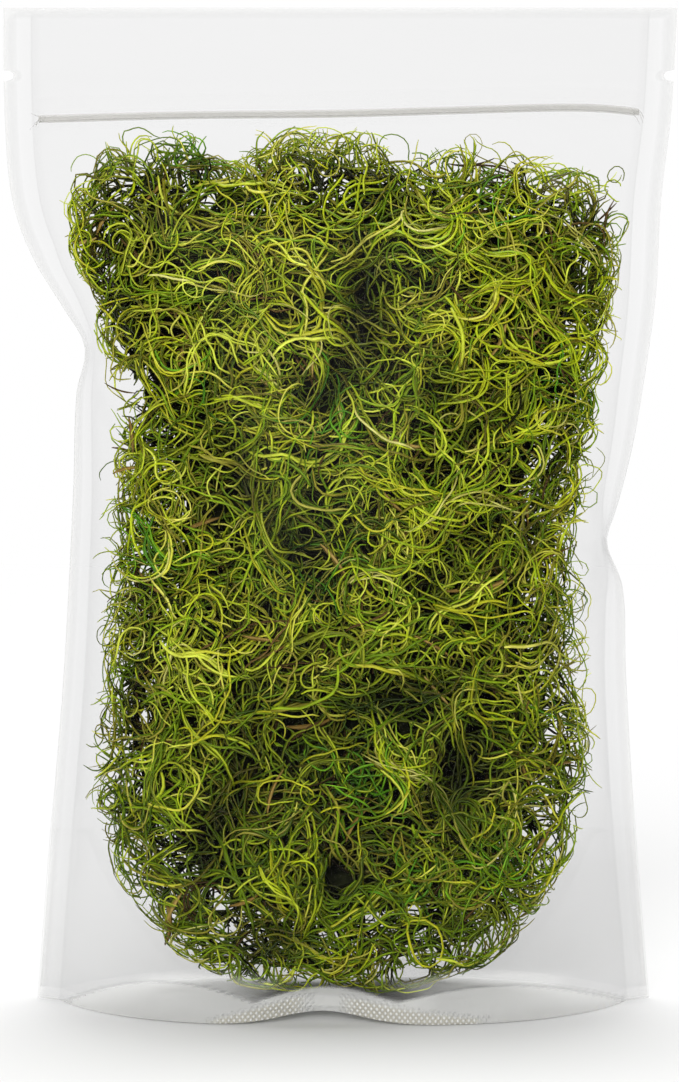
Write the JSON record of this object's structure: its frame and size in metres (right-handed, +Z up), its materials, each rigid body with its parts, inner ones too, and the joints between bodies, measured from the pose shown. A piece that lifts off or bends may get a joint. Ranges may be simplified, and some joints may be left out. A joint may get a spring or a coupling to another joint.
{
  "type": "spanish moss bunch in a clear stand-up pouch",
  "caption": "Dense tangle of dyed green Spanish moss filling a clear stand-up pouch with sealed sides, a folded bottom gusset, tear notches and a press-together zip.",
  "frame": {"origin": "on the surface that the pouch stands on, under the middle of its box", "axes": "+Z up; the front panel faces -Y; +X is to the right of someone who looks at the front"},
  "size_m": [0.228, 0.0834, 0.335],
  "materials": {
    "clear_film": "clear glossy laminated film, a little milky where two layers are sealed",
    "zip_plastic": "translucent satin polyethylene",
    "moss": "matt dried plant fibre, dyed olive to lime green, with brown husks and straw strands"
  },
  "bodies": {
    "root": {"pouch_front_panel": "clear_film", "pouch_back_panel": "clear_film", "pouch_bottom_gusset": "clear_film", "zip_rib_track": "zip_plastic", "zip_channel_track": "zip_plastic", "moss_bunch": "moss"}
  },
  "joints": []
}
